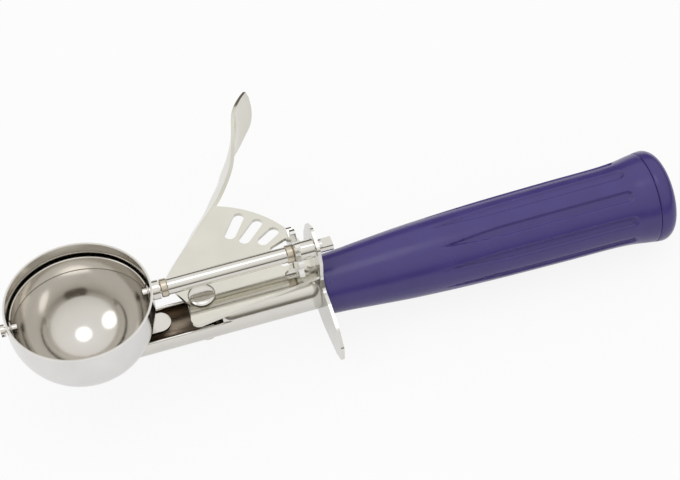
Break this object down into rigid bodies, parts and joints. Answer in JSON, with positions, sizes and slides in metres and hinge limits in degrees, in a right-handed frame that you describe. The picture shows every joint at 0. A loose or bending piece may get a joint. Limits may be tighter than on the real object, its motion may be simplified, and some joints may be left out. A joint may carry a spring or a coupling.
{
  "type": "lever ice cream scoop",
  "caption": "Thumb-lever ice cream scoop: round steel bowl, sweeping scraper blade turned by a star pinion in a slotted sector plate, finger guard and fluted plastic grip.",
  "frame": {"origin": "centre of the bowl's sphere, on the axis that the scraper blade turns about", "axes": "+X along the spindle from the bowl to the handle, +Y towards the thumb lever, +Z out of the bowl's mouth"},
  "size_m": [0.2088, 0.1012, 0.0414],
  "materials": {
    "polished_steel": "mirror-polished stainless steel",
    "bright_steel": "bright drawn stainless steel",
    "plate_steel": "stamped stainless sheet, tumbled satin",
    "spring_steel": "drawn spring wire",
    "braze": "heat-tinted braze",
    "grip_plastic": "moulded purple plastic, semi-gloss",
    "cap_plastic": "moulded purple plastic, semi-gloss"
  },
  "bodies": {
    "frame": {"bowl": "polished_steel", "front_bush": "bright_steel", "shank": "bright_steel", "shank_tongue": "plate_steel", "guard_plate": "plate_steel", "handle_tang": "bright_steel", "handle_grip": "grip_plastic", "end_cap": "cap_plastic", "pivot_rivet": "bright_steel", "pivot_washer": "bright_steel", "pivot_bush": "bright_steel", "return_spring": "spring_steel"},
    "lever": {"thumb_lever": "plate_steel"},
    "scraper": {"scraper_blade": "polished_steel", "tip_pin": "bright_steel", "spindle_rod": "bright_steel", "spindle_tube": "bright_steel", "front_braze_ring": "braze", "rear_braze_ring": "braze", "pinion_wheel": "bright_steel", "pinion_hub": "bright_steel", "spindle_end": "bright_steel"}
  },
  "joints": [
    {"name": "lever_press", "type": "hinge", "parent": "frame", "child": "lever", "pos_m": [0.0354, -0.0016, -0.0072], "axis": [0, 0, -1], "range_deg": [0, 41], "stiffness_Nm_per_rad": 0.15, "springref_deg": -20.05, "deforming": ["return_spring"]},
    {"name": "blade_sweep", "type": "hinge", "parent": "frame", "child": "scraper", "pos_m": [0, 0, 0], "axis": [-1, 0, 0], "range_deg": [0, 166]}
  ],
  "couplings": [
    {"joint": "blade_sweep", "follows": "lever_press", "ratio": 4}
  ]
}
